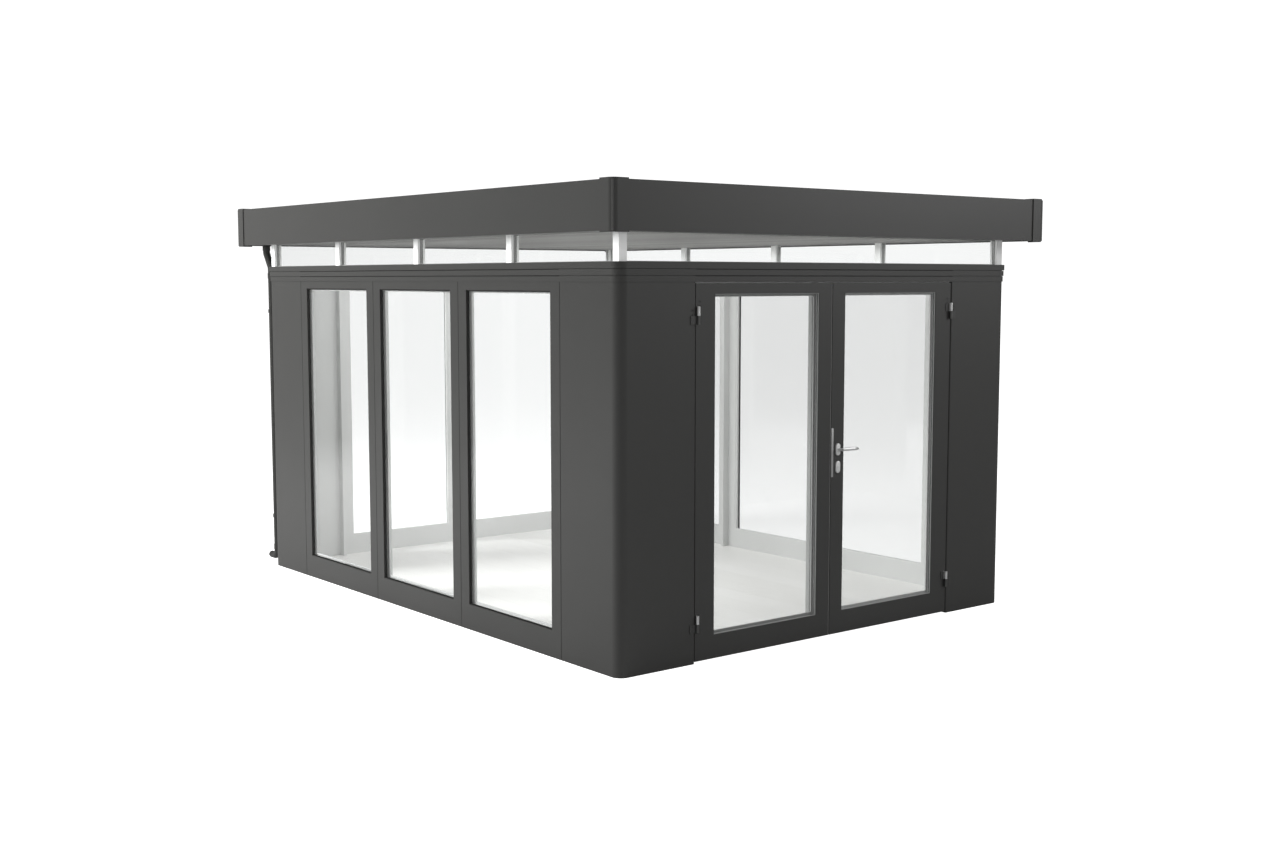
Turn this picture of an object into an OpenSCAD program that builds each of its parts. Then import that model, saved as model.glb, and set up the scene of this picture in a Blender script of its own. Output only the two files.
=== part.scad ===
// Glass garden room with a double door, full-height windows and a flat roof.
// Millimetres. +Z is up, the ground is z = 0, and the origin is the centre of
// the footprint. The double door is in the front wall, which faces -Y.

/* [Walls] */
// Width of the building across the door front, over its walls
wall_w = 3000; // [2400:10:4200]
// Depth of the building along its window sides, over its walls
wall_d = 4000; // [3200:10:6000]
// Height of the panels, windows and doors
wall_h = 2000; // [1700:10:2500]
// Thickness of the panels, window frames and header
wall_t = 50; // [44:1:70]
// Width of each corner panel on both of its walls
corner_w = 500; // [320:10:700]
// Outside radius of the building's upright corners
corner_r = 56; // [20:1:70]
// Depth of the V joint between two wall elements
joint_v = 3; // [1:0.5:5]

/* [Windows] */
// Windows in each long side
side_windows = 3; // [3]
// Windows in the rear wall
rear_windows = 2; // [2]
// Visible width of a window stile
stile_w = 86; // [50:1:110]
// Height of a window's top rail
top_rail_h = 47; // [40:1:100]
// Height of a window's bottom rail
bottom_rail_h = 148; // [60:1:220]
// Thickness of a window pane
pane_t = 16; // [8:1:24]
// Distance from a frame's outer face back to its pane
pane_back = 14; // [6:1:18]
// Width of an inside fin over each joint between elements
fin_w = 22; // [12:1:40]
// Depth of an inside fin
fin_t = 50; // [20:1:80]

/* [Doors] */
// Distance from the wall's outer face back to the closed doors
leaf_back = 4; // [2:1:6]
// Thickness of a door leaf
leaf_t = 40; // [36:1:42]
// Gap round a door leaf
leaf_gap = 6; // [5:0.5:10]
// Gap between the two closed leaves
meeting_gap = 8; // [7:0.5:12]
// Gap under a door leaf
leaf_under = 10; // [8:1:14]
// Distance from a leaf's outer face back to its pane
leaf_pane_back = 10; // [6:1:14]
// Width of a leaf's stile at its hinges
hinge_stile_w = 132; // [90:1:160]
// Width of a leaf's stile at the meeting edge
meeting_stile_w = 98; // [80:1:140]
// Height of a leaf's top rail
leaf_top_rail_h = 56; // [46:1:120]
// Height of a leaf's bottom rail
leaf_bottom_rail_h = 128; // [90:1:220]
// How far the door frame stands in behind the edge of a leaf
frame_lap = 30; // [20:1:50]
// Depth of the door frame behind the leaves
frame_t = 45; // [30:1:70]

/* [Hinges] */
// Height of one knuckle
knuckle_h = 45; // [30:1:70]
// Radius of a knuckle
knuckle_r = 9; // [8:0.5:10]
// Radius of a hinge pin
pin_r = 5; // [4:0.5:6]
// Radial play of the pin in its knuckle
pin_play = 0.08; // [0.05:0.01:0.1]
// Distance from the panel joint in to the hinge axis
axis_in = 14; // [12:1:18]
// Distance from the wall's outer face out to the hinge axis
axis_out = 8; // [7:0.5:9]
// Height of the joint between the lower hinge's knuckles
low_hinge_z = 212; // [160:1:400]
// Distance from the top of the walls down to the upper hinge's joint
high_hinge_down = 174; // [150:1:400]

/* [Handle] */
// Height of the lever's spindle
lever_z = 1063; // [900:1:1150]
// Distance from the meeting edge to the spindle
lever_in = 50; // [40:1:60]
// Length of a lever from its spindle to its tip
lever_l = 122; // [90:1:150]
// Distance from a rose's face out to the lever's grip
lever_out = 40; // [32:1:60]
// Thickness of the grip
grip_t = 14; // [10:1:18]
// Height of the grip
grip_h = 20; // [14:1:24]
// Radius of the lever's round neck
neck_r = 8; // [6:0.5:10]
// Width of a rose
rose_w = 34; // [26:1:40]
// Height of a rose
rose_h = 68; // [50:1:90]
// Thickness of a rose
rose_t = 8; // [5:1:10]
// Distance from the spindle down to the middle of the key rose
key_down = 99; // [80:1:120]
// Width of the steel strip at the meeting edge
strip_w = 16; // [12:1:20]
// Height of the steel strip
strip_h = 275; // [200:1:400]
// Distance from the spindle down to the strip's lower end
strip_down = 154; // [120:1:200]
// Thickness of the steel strip
strip_t = 2; // [1:0.5:3]

/* [Header and clerestory] */
// Height of the header over the wall elements
header_h = 102; // [81:3:159]
// How far the header's top band stands out from the walls
header_out = 10; // [4:1:14]
// How far each band below steps back
header_step = 3; // [0:0.5:4]
// Height of the grooves between the header's bands
groove_h = 5; // [2:1:8]
// Height of the clerestory glass
clerestory_h = 150; // [100:1:300]
// Side of a square clerestory post
post_w = 50; // [30:1:60]
// Distance from the wall's outer face back to the posts
post_back = 18; // [4:1:30]
// Thickness of the clerestory glass
clerestory_pane_t = 8; // [6:1:12]
// Distance between the middles of the posts on a long side
post_pitch = 1000; // [700:10:1000]

/* [Roof] */
// How far the roof's fascia stands out from the walls
overhang = 150; // [100:5:300]
// Height of the fascia
fascia_h = 246; // [160:2:320]
// Thickness of the fascia
fascia_t = 12; // [8:1:20]
// How far the fascia hangs below the soffit
fascia_drop = 6; // [0:1:20]
// Thickness of the ceiling and soffit
ceiling_t = 20; // [12:1:40]
// Thickness of the roof deck
deck_t = 40; // [20:1:80]
// Distance from the fascia's top down to the roof deck
deck_down = 30; // [10:1:60]
// Length of each leg of a fascia corner cap
cap_leg = 96; // [60:1:160]
// Thickness of a corner cap, outside the fascia
cap_t = 6; // [2:1:10]
// Outside radius of a corner cap
cap_r = 34; // [10:1:60]
// How far a corner cap rises over the fascia
cap_rise = 8; // [2:1:16]
// Width of the cap's top flange
cap_flange = 60; // [40:1:90]

/* [Floor] */
// Thickness of the floor
floor_t = 20; // [12:1:60]

/* [Downpipe] */
// Outside radius of the downpipe
pipe_r = 24; // [20:1:30]
// Wall thickness of the downpipe
pipe_t = 2; // [1.5:0.5:3]
// Distance from the left wall's outer face in to the pipe's middle
pipe_in = 40; // [36:1:100]
// Gap between the header's top band and the upright pipe
pipe_gap = 6; // [2:1:12]
// Gap between the fascia and the pipe under the soffit
outlet_gap = 2; // [1:1:10]
// Height of the middle of the shoe at the pipe's foot
shoe_z = 52; // [40:1:120]
// Width of a pipe clip's band
clip_w = 24; // [16:1:40]

/* [Hidden] */
$fn = 48;
// The four walls, numbered round the building from the front
FRONT = 0;
RIGHT = 1;
REAR = 2;
LEFT = 3;
outside_c = "#565655";
inside_c = "#c4c6c6";
post_c = "#dcdedd";
glass_c = [0.85, 0.90, 0.92, 0.35];
steel_c = "#c9cbcc";
pipe_c = "#2e2e2d";
header_z = wall_h;
post_z = wall_h + header_h;
soffit_z = post_z + clerestory_h;
fascia_z = soffit_z - fascia_drop;
roof_z = fascia_z + fascia_h;
deck_z = roof_z - deck_down - deck_t;
frame_z = wall_h + frame_lap;
leaf_w = (wall_w - 2 * corner_w - meeting_gap) / 2 - leaf_gap;
leaf_h = wall_h - leaf_gap - leaf_under;
hinge_x = wall_w / 2 - corner_w - axis_in;
hinge_y = -wall_d / 2 - axis_out;
hinge_zs = [low_hinge_z, wall_h - high_hinge_down];
knuckle_gap = 0.5;
// How far the pin and its bore stop short of a knuckle's height
pin_short = 5;
bore_short = 3;
plate_l = 34;
plate_t = 4;
lever_x = meeting_gap / 2 + lever_in;
spindle_r = 5;
spindle_gap = 5.5;
rose_play = 0.06;
key_r = 3;
cut = 1;
pipe_x = -wall_w / 2 + pipe_in;
pipe_y = wall_d / 2 + header_out + pipe_gap + pipe_r;
outlet_y = wall_d / 2 + overhang - fascia_t - outlet_gap - pipe_r;
// The pipe's straight start, its bends' radius and angle, and the lengths between them
outlet_h = 42;
bend_r = 40;
bend_a = 35;
slant_l = (outlet_y - pipe_y - 2 * bend_r * (1 - cos(bend_a))) / sin(bend_a);
slant_fall = 2 * bend_r * sin(bend_a) + slant_l * cos(bend_a);
upright_l = soffit_z - outlet_h - slant_fall - shoe_z - bend_r;
shoe_l = 56;
clip_t = 4;
clip_play = 0.3;
clip_stem = 20;
clip_foot = 40;
// Heights of the clips: above the ground, and down from the top of the walls
low_clip_z = 330;
high_clip_down = 220;
clip_zs = [low_clip_z, wall_h - high_clip_down];

// Length of a wall over its corners
function run(side) = side % 2 == 0 ? wall_w : wall_d;
// Distance from the building's middle to a wall's outer face
function reach(side) = side % 2 == 0 ? wall_d / 2 : wall_w / 2;
function windows(side) = side == REAR ? rear_windows : side_windows;
// Width of one window, and where it starts along its wall
function bay(side) = (run(side) - 2 * corner_w) / windows(side);
function bay_start(side, i) = -run(side) / 2 + corner_w + i * bay(side);

// A box between two opposite corners
module block(a, b) translate([0, 0, a[2]]) linear_extrude(b[2] - a[2])
  polygon([[a[0], a[1]], [b[0], a[1]], [b[0], b[1]], [a[0], b[1]]]);

// Puts a shape on a wall: x runs along the wall, y goes in from its outer face
module on_wall(side) rotate([0, 0, 90 * side]) translate([0, -reach(side), 0]) children();

// Puts a shape on the corner at the left end of a wall: x and y go in from its outer faces
module on_corner(side) {
  sx = side == FRONT || side == LEFT ? 1 : -1;
  sy = side == FRONT || side == RIGHT ? 1 : -1;
  translate([-sx * wall_w / 2, -sy * wall_d / 2, 0])
    mirror([sx < 0 ? 1 : 0, 0, 0])
      mirror([0, sy < 0 ? 1 : 0, 0])
        children();
}

// Outline of an angle round a building corner, out by out, with a rounded outside
module angle_outline(leg, t, r, out) {
  difference() {
    translate([-out, -out]) {
      translate([r, 0]) square([leg + out - r, t + out]);
      translate([0, r]) square([t + out, leg + out - r]);
      intersection() {
        translate([r, r]) circle(r);
        square(r);
      }
      difference() {
        square([r + t, r + t]);
        square(r);
      }
    }
    translate([t, t]) square(leg + r);
  }
}

// The V joint cut into an outer edge at x
module v_joint(x) translate([x, 0]) rotate(45) square(joint_v * sqrt(2), center = true);

module floor() color("#efeeea")
  difference() {
    block([-wall_w / 2 + wall_t, -wall_d / 2 + wall_t, 0],
          [wall_w / 2 - wall_t, wall_d / 2 - wall_t, floor_t]);
    on_wall(FRONT) door_frame_outside(cut);
  }

module corner_panel(side) color(outside_c)
  on_corner(side) linear_extrude(wall_h) difference() {
    angle_outline(corner_w, wall_t, corner_r, 0);
    v_joint(corner_w);
    mirror([1, -1]) v_joint(corner_w);
  }

module window_frame(side, i) color(outside_c)
  on_wall(side) difference() {
    linear_extrude(wall_h) difference() {
      polygon([[bay_start(side, i), 0], [bay_start(side, i + 1), 0],
               [bay_start(side, i + 1), wall_t], [bay_start(side, i), wall_t]]);
      v_joint(bay_start(side, i));
      v_joint(bay_start(side, i + 1));
    }
    window_opening(side, i, -cut, wall_t + cut);
  }

// The clear opening of window i, from depth a to depth b
module window_opening(side, i, a, b)
  block([bay_start(side, i) + stile_w, a, bottom_rail_h],
        [bay_start(side, i + 1) - stile_w, b, wall_h - top_rail_h]);

module window_glass(side) color(glass_c)
  on_wall(side) for (i = [0 : windows(side) - 1])
    window_opening(side, i, pane_back, pane_back + pane_t);

module wall_fins(side) color(inside_c)
  on_wall(side) for (i = [0 : windows(side)])
    translate([bay_start(side, i) - fin_w / 2, wall_t, floor_t])
      cube([fin_w, fin_t, post_z - floor_t]);

// The door frame's outer block, with spare height below for cutting the floor
module door_frame_outside(below) {
  half = wall_w / 2 - corner_w + fin_w;
  block([-half, wall_t, -below], [half, wall_t + frame_t, frame_z]);
}

module door_frame() color(inside_c)
  on_wall(FRONT) difference() {
    door_frame_outside(0);
    half = wall_w / 2 - corner_w - frame_lap;
    block([-half, wall_t - cut, floor_t], [half, wall_t + frame_t + cut, wall_h - frame_lap]);
  }

// Puts a shape drawn for the right leaf on either leaf: x runs out from the middle
module on_leaf(sign) on_wall(FRONT) mirror([sign < 0 ? 1 : 0, 0, 0]) children();

module leaf_opening(a, b)
  block([meeting_gap / 2 + meeting_stile_w, a, leaf_under + leaf_bottom_rail_h],
        [meeting_gap / 2 + leaf_w - hinge_stile_w, b, leaf_under + leaf_h - leaf_top_rail_h]);

module door_leaf(sign) color(outside_c)
  on_leaf(sign) difference() {
    block([meeting_gap / 2, leaf_back, leaf_under],
          [meeting_gap / 2 + leaf_w, leaf_back + leaf_t, leaf_under + leaf_h]);
    leaf_opening(leaf_back - cut, leaf_back + leaf_t + cut);
    if (sign > 0) lever_axis() cylinder(h = 2 * leaf_t, r = spindle_r + spindle_gap, center = true);
  }

module door_glass(sign) color(glass_c)
  on_leaf(sign) leaf_opening(leaf_back + leaf_pane_back, leaf_back + leaf_pane_back + pane_t);

// The spindle's place in the right leaf's thickness, with z pointing outside
module lever_axis() translate([lever_x, leaf_back + leaf_t / 2, lever_z]) rotate([90, 0, 0]) children();

module on_hinges(sign) for (z = hinge_zs)
  mirror([sign < 0 ? 1 : 0, 0, 0]) translate([hinge_x, hinge_y, z]) children();

// The knuckle on the wall, with its pin and a plate out over the corner panel
module hinge_frame_parts() color(steel_c)
  for (sign = [-1, 1]) on_hinges(sign) {
    translate([0, 0, -knuckle_h]) {
      cylinder(h = knuckle_h, r = knuckle_r);
      block([0, axis_out - plate_t, 0], [axis_in + plate_l, axis_out, knuckle_h]);
    }
    translate([0, 0, -cut]) cylinder(h = knuckle_h - pin_short + cut, r = pin_r);
  }

// The knuckle on the leaf, bored from below for the pin
module hinge_leaf_parts(sign) color(steel_c)
  on_hinges(sign) translate([0, 0, knuckle_gap]) difference() {
    union() {
      cylinder(h = knuckle_h, r = knuckle_r);
      block([-plate_l, axis_out + leaf_back - plate_t, 0], [0, axis_out + leaf_back, knuckle_h]);
    }
    translate([0, 0, -cut]) cylinder(h = knuckle_h - bore_short + cut, r = pin_r + pin_play);
  }

// A rounded plate lying on a face of the leaf, with a hole of radius r
module rose(w, h, r) linear_extrude(rose_t) difference() {
  union() {
    square([w, h - w], center = true);
    for (s = [-1, 1]) translate([0, s * (h - w) / 2]) circle(w / 2);
  }
  circle(r);
}

// Lever roses and key roses on both faces, and the strip at the meeting edge
module handle_plates() color(steel_c)
  on_leaf(1) {
    lever_axis() for (s = [0, 1]) mirror([0, 0, s]) translate([0, 0, leaf_t / 2]) {
      rose(rose_w, rose_h, neck_r + rose_play);
      translate([0, -key_down]) rose(rose_w, rose_h, key_r);
    }
    translate([meeting_gap / 2, leaf_back - strip_t, lever_z - strip_down])
      cube([strip_w, strip_t, strip_h]);
  }

module door_lever() color(steel_c)
  on_leaf(1) lever_axis() {
    cylinder(h = leaf_t + 2 * cut, r = spindle_r, center = true);
    for (s = [0, 1]) mirror([0, 0, s]) translate([0, 0, leaf_t / 2]) {
      cylinder(h = rose_t + lever_out + grip_t / 2, r = neck_r);
      translate([-neck_r, -grip_h / 2, rose_t + lever_out]) cube([neck_r + lever_l, grip_h, grip_t]);
    }
  }

// The header's bands, from the bottom up, and the groove over each but the last
bands = 3;
band_h = header_h / bands;
function band_out(k) = header_out - header_step * (bands - 1 - k);
function band_groove(k) = k < bands - 1 ? groove_h : 0;

// A straight header between two corners: bands on a plain back, with grooves between
module header(side) color(outside_c) {
  half = run(side) / 2 - corner_w;
  on_wall(side) {
    block([-half, 0, header_z], [half, wall_t, header_z + header_h]);
    for (k = [0 : bands - 1]) block([-half, -band_out(k), header_z + k * band_h],
                            [half, wall_t / 2, header_z + (k + 1) * band_h - band_groove(k)]);
  }
}

// The corner sections have the same bands with finer grooves
module header_corners() color(outside_c)
  for (side = [FRONT : LEFT]) on_corner(side) translate([0, 0, header_z]) {
    linear_extrude(header_h) angle_outline(corner_w, wall_t, corner_r, 0);
    for (k = [0 : bands - 1]) translate([0, 0, k * band_h]) linear_extrude(band_h - band_groove(k) / 2)
      angle_outline(corner_w, wall_t / 2, corner_r, band_out(k));
  }

// Middles of the posts along a long side, corner posts at its ends
function post_end() = wall_d / 2 - post_back - post_w / 2;
function post_places() = [-post_end(), -post_pitch, 0, post_pitch, post_end()];

module clerestory_posts(side) color(post_c)
  on_wall(side) for (y = post_places())
    translate([y - post_w / 2, post_back, post_z]) cube([post_w, post_w, clerestory_h]);

// Long sides have a pane between each two posts
module clerestory_side_glass(side) color(glass_c) {
  back = post_back + (post_w - clerestory_pane_t) / 2;
  on_wall(side) for (i = [0 : len(post_places()) - 2])
    block([post_places()[i] + post_w / 2, back, post_z],
          [post_places()[i + 1] - post_w / 2, back + clerestory_pane_t, soffit_z]);
}

// The ends have one pane between their corner posts
module clerestory_end_glass(side) color(glass_c) {
  back = post_back + (post_w - clerestory_pane_t) / 2;
  half = wall_w / 2 - post_back - post_w;
  on_wall(side) block([-half, back, post_z], [half, back + clerestory_pane_t, soffit_z]);
}

// A plate inside the fascia, from height a to height b
module roof_plate(a, b) {
  x = wall_w / 2 + overhang - fascia_t;
  y = wall_d / 2 + overhang - fascia_t;
  block([-x, -y, a], [x, y, b]);
}

module ceiling() color("#8a8a88") roof_plate(soffit_z, soffit_z + ceiling_t);

module roof_deck() color("#6c6c6b") roof_plate(deck_z, deck_z + deck_t);

// The end fascias run the full width, and the side fascias fit between them
module fascia(side) color(outside_c) {
  half = run(side) / 2 + overhang - (side % 2 == 0 ? 0 : fascia_t);
  on_wall(side) block([-half, -overhang, fascia_z], [half, -overhang + fascia_t, roof_z]);
}

module fascia_corner_caps() color(outside_c)
  for (side = [FRONT : LEFT]) on_corner(side) difference() {
    translate([-overhang, -overhang, fascia_z - cap_t]) linear_extrude(fascia_h + cap_t + cap_rise)
      angle_outline(cap_leg, cap_flange, cap_r, cap_t);
    translate([-overhang, -overhang, fascia_z]) cube([2 * cap_leg, 2 * cap_leg, fascia_h]);
    translate([-overhang + fascia_t, -overhang + fascia_t, fascia_z - 2 * cap_t])
      cube([2 * cap_leg, 2 * cap_leg, 2 * cap_t + cut]);
  }

// A length of pipe up from the origin, and what follows at its far end
module pipe_length(l) {
  linear_extrude(l) pipe_section();
  translate([0, 0, l]) children();
}

// A bend that turns towards -X, and what follows at its far end
module pipe_bend(turn) {
  translate([-bend_r, 0, 0]) rotate([90, 0, 0])
    rotate_extrude(angle = turn) translate([bend_r, 0]) pipe_section();
  translate([bend_r * (cos(turn) - 1), 0, bend_r * sin(turn)]) rotate([0, -turn, 0]) children();
}

module pipe_section() difference() {
  circle(pipe_r);
  circle(pipe_r - pipe_t);
}

// From the soffit down: two bends in to the wall, the long pipe, and the shoe
module downpipe() color(pipe_c)
  translate([pipe_x, outlet_y, soffit_z]) rotate([180, 0, 90])
    pipe_length(outlet_h) pipe_bend(bend_a) pipe_length(slant_l)
      rotate([0, 0, 180]) pipe_bend(bend_a) pipe_length(upright_l)
        pipe_bend(90) pipe_length(shoe_l);

// Bands round the upright pipe, each with a stem from a foot on the rear wall
module downpipe_clips() color(pipe_c)
  for (z = clip_zs) translate([pipe_x, 0, z]) difference() {
    union() {
      translate([0, pipe_y, 0]) cylinder(h = clip_w, r = pipe_r + clip_t);
      block([-clip_stem / 2, wall_d / 2, 0], [clip_stem / 2, pipe_y, clip_w]);
      block([-clip_stem / 2, wall_d / 2, 0], [clip_foot, wall_d / 2 + clip_t, clip_w]);
    }
    translate([0, pipe_y, -cut]) cylinder(h = clip_w + 2 * cut, r = pipe_r + clip_play);
  }

floor();
corner_panel(FRONT);  // corner_panel_front_left
corner_panel(RIGHT);  // corner_panel_front_right
corner_panel(LEFT);  // corner_panel_rear_left
corner_panel(REAR);  // corner_panel_rear_right
window_frame(LEFT, 2);  // window_frame_left_1
window_frame(LEFT, 1);  // window_frame_left_2
window_frame(LEFT, 0);  // window_frame_left_3
window_frame(RIGHT, 0);  // window_frame_right_1
window_frame(RIGHT, 1);  // window_frame_right_2
window_frame(RIGHT, 2);  // window_frame_right_3
window_frame(REAR, 1);  // window_frame_rear_1
window_frame(REAR, 0);  // window_frame_rear_2
window_glass(LEFT);  // window_glass_left
window_glass(RIGHT);  // window_glass_right
window_glass(REAR);  // window_glass_rear
wall_fins(LEFT);  // wall_fins_left
wall_fins(RIGHT);  // wall_fins_right
wall_fins(REAR);  // wall_fins_rear
door_frame();
door_leaf(-1);  // door_leaf_left
door_leaf(1);  // door_leaf_right
door_glass(-1);  // door_glass_left
door_glass(1);  // door_glass_right
hinge_frame_parts();
hinge_leaf_parts(-1);  // hinge_leaf_parts_left
hinge_leaf_parts(1);  // hinge_leaf_parts_right
handle_plates();
door_lever();
header(FRONT);  // header_front
header(REAR);  // header_rear
header(LEFT);  // header_left
header(RIGHT);  // header_right
header_corners();
clerestory_posts(LEFT);  // clerestory_posts_left
clerestory_posts(RIGHT);  // clerestory_posts_right
clerestory_end_glass(FRONT);  // clerestory_glass_front
clerestory_end_glass(REAR);  // clerestory_glass_rear
clerestory_side_glass(LEFT);  // clerestory_glass_left
clerestory_side_glass(RIGHT);  // clerestory_glass_right
ceiling();
roof_deck();
fascia(FRONT);  // fascia_front
fascia(REAR);  // fascia_rear
fascia(LEFT);  // fascia_left
fascia(RIGHT);  // fascia_right
fascia_corner_caps();
downpipe();
downpipe_clips();
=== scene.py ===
# %% [markdown]
# # A glass garden room
#
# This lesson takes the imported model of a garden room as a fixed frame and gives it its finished
# look. The room is a box of anthracite aluminium panels and tall windows, with a double glass
# door in front, a low row of glass under the roof, and a flat roof behind a deep fascia.
# Every size comes from the frame or is a named value in millimetres.

# %% Load the frame
import math

import bmesh
import bpy
from mathutils import Matrix, Vector


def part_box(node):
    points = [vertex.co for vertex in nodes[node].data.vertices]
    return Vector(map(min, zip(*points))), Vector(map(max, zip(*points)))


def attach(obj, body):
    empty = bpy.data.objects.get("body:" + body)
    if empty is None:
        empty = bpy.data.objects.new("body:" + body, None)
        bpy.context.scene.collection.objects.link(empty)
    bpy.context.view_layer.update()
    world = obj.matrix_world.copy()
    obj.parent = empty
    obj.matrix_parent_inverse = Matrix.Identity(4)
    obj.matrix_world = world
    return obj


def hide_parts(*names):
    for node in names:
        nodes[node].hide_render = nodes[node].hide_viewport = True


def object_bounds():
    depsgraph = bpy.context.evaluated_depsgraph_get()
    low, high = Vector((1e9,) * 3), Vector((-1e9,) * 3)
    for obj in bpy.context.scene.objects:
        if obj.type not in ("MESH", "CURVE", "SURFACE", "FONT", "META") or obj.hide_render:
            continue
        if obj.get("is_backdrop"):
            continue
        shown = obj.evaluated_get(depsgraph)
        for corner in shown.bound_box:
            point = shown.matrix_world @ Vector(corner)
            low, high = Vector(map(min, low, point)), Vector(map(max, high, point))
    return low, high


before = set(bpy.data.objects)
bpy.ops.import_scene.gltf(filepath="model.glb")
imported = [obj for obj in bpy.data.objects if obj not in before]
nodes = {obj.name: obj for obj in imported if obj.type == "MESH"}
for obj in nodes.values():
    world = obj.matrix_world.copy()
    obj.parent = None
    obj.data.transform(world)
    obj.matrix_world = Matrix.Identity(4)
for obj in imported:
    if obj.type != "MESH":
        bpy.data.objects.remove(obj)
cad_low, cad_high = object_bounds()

MM = 0.001
print("box:", [round(v, 3) for v in (*cad_low, *cad_high)])

# %% [markdown]
# ## Where things are
#
# The walls, windows, doors and roof are all read from the frame, so that nothing has to be
# fitted by eye. A wall has its own directions: x runs along it and y goes in from its outside
# face. One turn about the building's middle then puts a shape on any of the four walls.

# %% Places
panel_low, panel_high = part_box("corner_panel_front_left")
HALF_W, HALF_D = -panel_low.x, -panel_low.y
JOINT_X = -panel_high.x
WALL_H = panel_high.z
SIDES = {"front": 0, "right": 1, "rear": 2, "left": 3}
REACH = {"front": HALF_D, "right": HALF_W, "rear": HALF_D, "left": HALF_W}


def on_wall(side):
    """The matrix from a wall's own directions to the building's."""
    turn = Matrix.Rotation(math.radians(90 * SIDES[side]), 4, "Z")
    return turn @ Matrix.Translation((0, -REACH[side], 0))


print("half width, half depth, wall height:", [round(v, 3) for v in (HALF_W, HALF_D, WALL_H)])

# %% [markdown]
# ## The camera
#
# The camera stands in front of the left corner, about as high as the door's head, and looks
# a little down. Its lens and its turn are set once.

# %% Camera
bpy.ops.object.select_all(action="DESELECT")
bpy.ops.object.camera_add(
    location=(-6.0885, -7.9692, 2.0116),
    rotation=(math.radians(84.451), 0, math.radians(-38.40)),
)
camera = bpy.context.object
camera.name = "camera"
camera.data.lens = 42.737
camera.data.sensor_width = 36
camera.data.clip_end = 3000
bpy.context.scene.camera = camera
print("camera lens:", round(camera.data.lens, 2))

# %% [markdown]
# ## Helpers for nodes
#
# Colours are written as hex values and turned to linear in one place. One function adds a node
# with its settings, its values and its links. Patterns are in real sizes on Object
# coordinates, so they stay on a piece when it moves. Most finishes are a pattern that varies the
# colour, the gloss and the relief a little, so one helper does all three.

# %% Helpers for nodes


def colour(code):
    """A linear colour from a hex value."""
    parts = [int(code[i : i + 2], 16) / 255 for i in (1, 3, 5)]
    return (*[p / 12.92 if p <= 0.04045 else ((p + 0.055) / 1.055) ** 2.4 for p in parts], 1)


def add(owner, kind, values=None, **settings):
    """A node with its settings, and its inputs set to values or linked to sockets."""
    node = owner.node_tree.nodes.new("ShaderNode" + kind)
    for key, value in settings.items():
        setattr(node, key, value)
    for key, value in (values or {}).items():
        if isinstance(value, bpy.types.NodeSocket):
            owner.node_tree.links.new(value, node.inputs[key])
        else:
            node.inputs[key].default_value = value
    return node


def link(owner, output, socket):
    owner.node_tree.links.new(output, socket)


def new_material(name, **values):
    """A material and its main shader, with plain values set on the shader itself."""
    material = bpy.data.materials.new(name)
    material.use_nodes = True
    shader = material.node_tree.nodes["Principled BSDF"]
    for key, value in values.items():
        shader.inputs[key.replace("_", " ")].default_value = value
    return material, shader


def grain(material, size, stretch=(1, 1, 1), detail=2.0):
    """Noise whose spots are about size across, longer where stretch is small."""
    place = add(material, "TexCoord").outputs["Object"]
    turned = add(material, "Mapping", {"Vector": place, "Scale": stretch}).outputs["Vector"]
    spots = {"Vector": turned, "Scale": 1 / size, "Detail": detail}
    return add(material, "TexNoise", spots).outputs["Fac"]


def vary(material, shader, pattern, tones=None, gloss=None, depth=0.0, strength=0.4):
    """Lets a pattern vary a finish between two colours, between two roughnesses and in relief."""
    if tones:
        tone = add(material, "Mix", {0: pattern, 6: tones[0], 7: tones[1]}, data_type="RGBA")
        link(material, tone.outputs[2], shader.inputs["Base Color"])
    if gloss:
        span = {"Value": pattern, "To Min": gloss[0], "To Max": gloss[1]}
        level = add(material, "MapRange", span)
        link(material, level.outputs["Result"], shader.inputs["Roughness"])
    if depth:
        height = {"Height": pattern, "Distance": depth, "Strength": strength}
        relief = add(material, "Bump", height)
        link(material, relief.outputs["Normal"], shader.inputs["Normal"])


print("a mid grey in linear:", [round(v, 3) for v in colour("#808080")])

# %% [markdown]
# ## Studio light
#
# A product studio: white all round and four softboxes, which are large flat lamps. The key
# stands off the left wall, so that wall is bright and the door front stays dark. A fill hangs
# high off the far end of the front. A long low one stands by the camera and reaches in under the
# roof's edge, to the posts. The last hangs under the ceiling and lights the room. What the
# camera sees behind the object is plain white; what lights it is a softer grey-white.

# %% Studio light
AROUND = 0.32
BACKGROUND = 1.12
ROOM_MIDDLE = (0, 0, 1.0)
POSTS_MIDDLE = (-1.5, 0, 2.2)
bpy.context.scene.view_settings.view_transform = "Standard"
world = bpy.data.worlds.new("studio")
bpy.context.scene.world = world
world.use_nodes = True
sky = world.node_tree.nodes["Background"]
sky.inputs["Color"].default_value = (1, 1, 1, 1)


def for_camera(owner, socket, otherwise, seen):
    """Sets a value to seen for the camera's own rays and to otherwise for light."""
    ray = add(owner, "LightPath").outputs["Is Camera Ray"]
    level = add(owner, "MapRange", {"Value": ray, "To Min": otherwise, "To Max": seen})
    link(owner, level.outputs["Result"], socket)


for_camera(world, sky.inputs["Strength"], AROUND, BACKGROUND)


def softbox(name, place, target, width, height, power):
    """A flat lamp at a place that faces a target."""
    bpy.ops.object.select_all(action="DESELECT")
    bpy.ops.object.light_add(type="AREA", location=place)
    lamp = bpy.context.object
    lamp.name = name
    lamp.data.shape = "RECTANGLE"
    lamp.data.size, lamp.data.size_y = width, height
    lamp.data.energy = power
    lamp.rotation_euler = (Vector(target) - Vector(place)).to_track_quat("-Z", "Y").to_euler()
    # Seen in the glass or the paint, the lamp itself would be a hard white patch.
    lamp.visible_camera = False
    lamp.visible_transmission = False
    lamp.visible_glossy = False
    return lamp


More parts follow.
